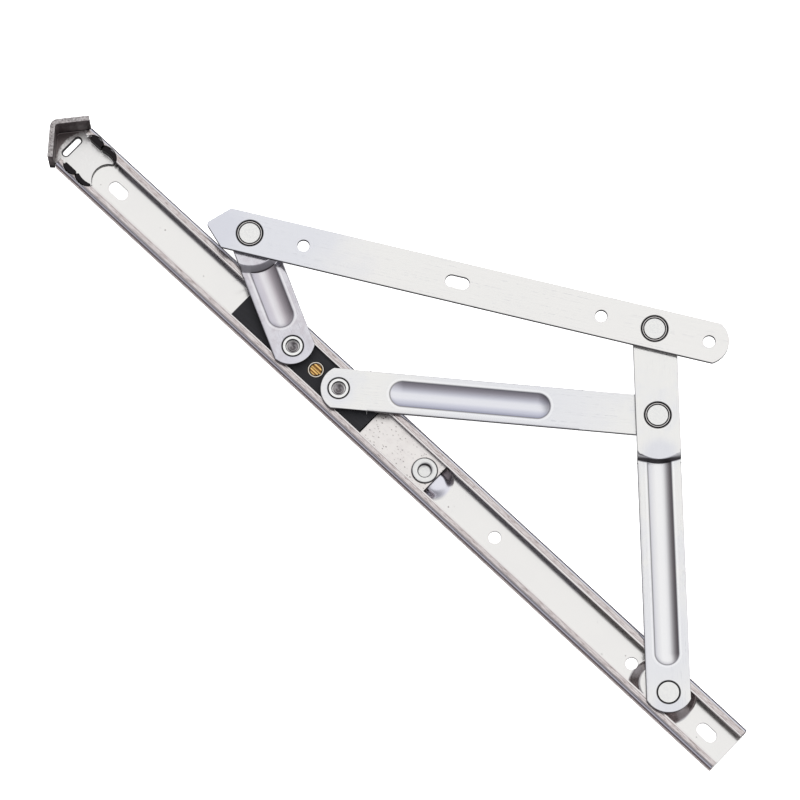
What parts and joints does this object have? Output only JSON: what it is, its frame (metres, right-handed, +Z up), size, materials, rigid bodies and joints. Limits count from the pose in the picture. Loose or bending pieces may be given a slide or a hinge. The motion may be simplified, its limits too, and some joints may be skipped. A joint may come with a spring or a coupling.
{
  "type": "friction stay hinge",
  "caption": "Flat window friction stay: C-channel track with a sliding shoe, folding arms, a pointed sash bar, flush rivets and a V-shaped end cap.",
  "frame": {"origin": "middle of the track's flat back face, which lies against the window frame", "axes": "+X along the track from the end cap towards the fixed pivot, +Y towards the side the arms open to, +Z up from the back face through the stack of arms"},
  "size_m": [0.3673, 0.1341, 0.0156],
  "materials": {
    "track_steel": "mill-finished stainless strip with a faint warm cast",
    "arm_steel": "satin stainless strip with pressed grooves",
    "bar_steel": "fine satin stainless strip",
    "rivet_steel": "smooth pressed rivet heads",
    "cap_steel": "rough cast and sheared end cap",
    "dark_steel": "dull plated steel",
    "black_nylon": "moulded nylon",
    "washer_nylon": "natural nylon washer",
    "brass": "turned brass"
  },
  "bodies": {
    "track": {"track": "track_steel", "end_cap": "cap_steel", "stop_plate": "track_steel", "stop_eyelet": "rivet_steel", "fixed_pivot_rivet": "rivet_steel", "fixed_pivot_washer": "washer_nylon"},
    "long_arm": {"long_arm": "arm_steel", "link_pivot_rivet": "rivet_steel", "link_pivot_bush": "rivet_steel", "link_pivot_washer": "washer_nylon"},
    "link_arm": {"link_arm": "arm_steel"},
    "slider": {"slider_shoe": "black_nylon", "slider_core_plate": "dark_steel", "friction_pad": "brass", "screw_insert": "dark_steel", "short_arm_rivet": "rivet_steel", "short_arm_collar": "dark_steel", "link_arm_rivet": "rivet_steel", "link_arm_collar": "dark_steel"},
    "friction_screw": {"friction_screw": "brass"},
    "short_arm": {"short_arm": "arm_steel"},
    "sash_bar": {"sash_bar": "bar_steel", "sash_pivot_rivet": "rivet_steel", "sash_pivot_bush": "rivet_steel", "sash_pivot_washer": "washer_nylon", "tip_pivot_rivet": "rivet_steel", "tip_pivot_bush": "rivet_steel", "tip_pivot_washer": "washer_nylon"}
  },
  "joints": [
    {"name": "stay_opening", "type": "hinge", "parent": "track", "child": "long_arm", "pos_m": [0.146, 0, 0.0094], "axis": [0, 0, 1], "range_deg": [0, 45]},
    {"name": "link_arm_pivot", "type": "hinge", "parent": "long_arm", "child": "link_arm", "pos_m": [0.06786, 0.07814, 0.0107], "axis": [0, 0, 1], "range_deg": [-83.3, 0]},
    {"name": "slider_pivot", "type": "hinge", "parent": "link_arm", "child": "slider", "pos_m": [-0.03137, 0, 0.0073], "axis": [0, 0, 1], "range_deg": [0, 38.3]},
    {"name": "short_arm_pivot", "type": "hinge", "parent": "slider", "child": "short_arm", "pos_m": [-0.05647, 0, 0.0073], "axis": [0, 0, 1], "range_deg": [0, 25.7]},
    {"name": "sash_bar_pivot", "type": "hinge", "parent": "long_arm", "child": "sash_bar", "pos_m": [0.04347, 0.10253, 0.0133], "axis": [0, 0, 1], "range_deg": [-74.8, 0]},
    {"name": "friction_screw_turn", "type": "hinge", "parent": "slider", "child": "friction_screw", "pos_m": [-0.04392, 0, 0.0045], "axis": [0, 0, 1], "range_deg": [-180, 180]}
  ],
  "couplings": [
    {"joint": "link_arm_pivot", "follows": "stay_opening", "ratio": -1.8493},
    {"joint": "slider_pivot", "follows": "stay_opening", "ratio": 0.84928},
    {"joint": "short_arm_pivot", "follows": "stay_opening", "ratio": 0.56851},
    {"joint": "sash_bar_pivot", "follows": "stay_opening", "ratio": -1.6601}
  ]
}
